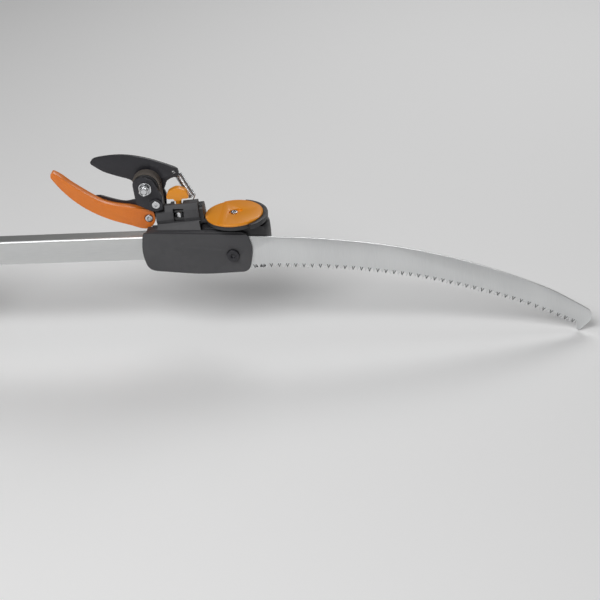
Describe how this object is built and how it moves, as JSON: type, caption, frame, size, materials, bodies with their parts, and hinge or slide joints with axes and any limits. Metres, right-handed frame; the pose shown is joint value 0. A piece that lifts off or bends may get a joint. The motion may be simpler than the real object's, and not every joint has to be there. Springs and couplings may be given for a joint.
{
  "type": "telescoping pole saw",
  "caption": "Telescoping pole with a curved pull saw on a moulded holder, a folded hook lopper on a swivel, a clamp lever and a sliding pull grip.",
  "frame": {"origin": "centre of the butt cap's end face, on the pole's centre line", "axes": "+X along the pole towards the saw, +Z along the swivel axis of the lopper head, up"},
  "size_m": [2.2598, 0.0643, 0.2029],
  "materials": {
    "satin_aluminium": "satin anodised",
    "black_plastic": "fine moulded texture",
    "holder_plastic": "fine moulded texture",
    "orange_plastic": "smooth moulded",
    "orange_paint": "smooth powder coat",
    "coated_steel": "black low-friction coating",
    "saw_steel": "bright satin",
    "zinc": "bright zinc plate",
    "webbing": "woven strap",
    "foam": "closed-cell foam"
  },
  "bodies": {
    "handle": {"handle_tube": "satin_aluminium", "butt_cap": "black_plastic", "foam_grip": "foam", "guide_bush": "black_plastic", "clamp_collar": "black_plastic", "clamp_eye_bolt": "zinc", "clamp_nut": "zinc", "clamp_pin": "zinc"},
    "pull_grip": {"sliding_grip": "orange_plastic", "grip_carriage": "black_plastic", "carriage_strap": "webbing"},
    "clamp_lever": {"clamp_lever": "orange_plastic"},
    "head": {"slim_tube": "satin_aluminium", "slide_bush": "black_plastic", "pole_strap": "webbing", "hub_housing": "black_plastic", "saw_holder": "holder_plastic", "saw_blade": "saw_steel", "saw_bolt": "coated_steel", "saw_pin": "zinc"},
    "lopper": {"neck": "black_plastic", "cap_disc": "orange_plastic", "cap_screw": "zinc", "swivel_retainer": "saw_steel", "near_bracket": "coated_steel", "bracket_screw": "zinc", "far_bracket": "coated_steel", "pivot_bolt": "zinc", "pivot_washer": "zinc", "pivot_locknut": "zinc", "hook_jaw": "orange_paint", "jaw_screw": "zinc", "counter_blade": "coated_steel", "counter_screw_1": "zinc", "counter_screw_2": "zinc", "return_spring": "zinc", "spring_post": "zinc", "neck_strap": "webbing", "collar_nut": "zinc", "wheel_strap": "webbing"},
    "blade": {"lopper_blade": "coated_steel", "strap_wheel": "black_plastic"},
    "knob": {"clamp_knob": "orange_plastic"}
  },
  "joints": [
    {"name": "telescope", "type": "slide", "parent": "handle", "child": "head", "axis": [1, 0, 0], "range_m": [0, 0.9]},
    {"name": "grip_pull", "type": "slide", "parent": "handle", "child": "pull_grip", "axis": [-1, 0, 0], "range_m": [0, 0.24], "stiffness_N_per_m": 60, "springref_m": -0.06},
    {"name": "clamp_lever_turn", "type": "hinge", "parent": "handle", "child": "clamp_lever", "pos_m": [1.5803, 0.0228, 0.018], "axis": [0, 1, 0], "range_deg": [0, 100]},
    {"name": "head_swivel", "type": "hinge", "parent": "head", "child": "lopper", "pos_m": [1.9053, 0, 0.024], "axis": [0, 0, -1], "range_deg": [0, 180]},
    {"name": "blade_close", "type": "hinge", "parent": "lopper", "child": "blade", "pos_m": [1.8207, 0.008, 0.0674], "axis": [0, -1, 0], "range_deg": [0, 40], "deforming": ["return_spring"]},
    {"name": "knob_turn", "type": "hinge", "parent": "lopper", "child": "knob", "pos_m": [1.8513, -0.003, 0.05], "axis": [0, 0, 1], "continuous": true}
  ],
  "couplings": [
    {"joint": "blade_close", "follows": "grip_pull", "rad_per_m": 2.9}
  ]
}
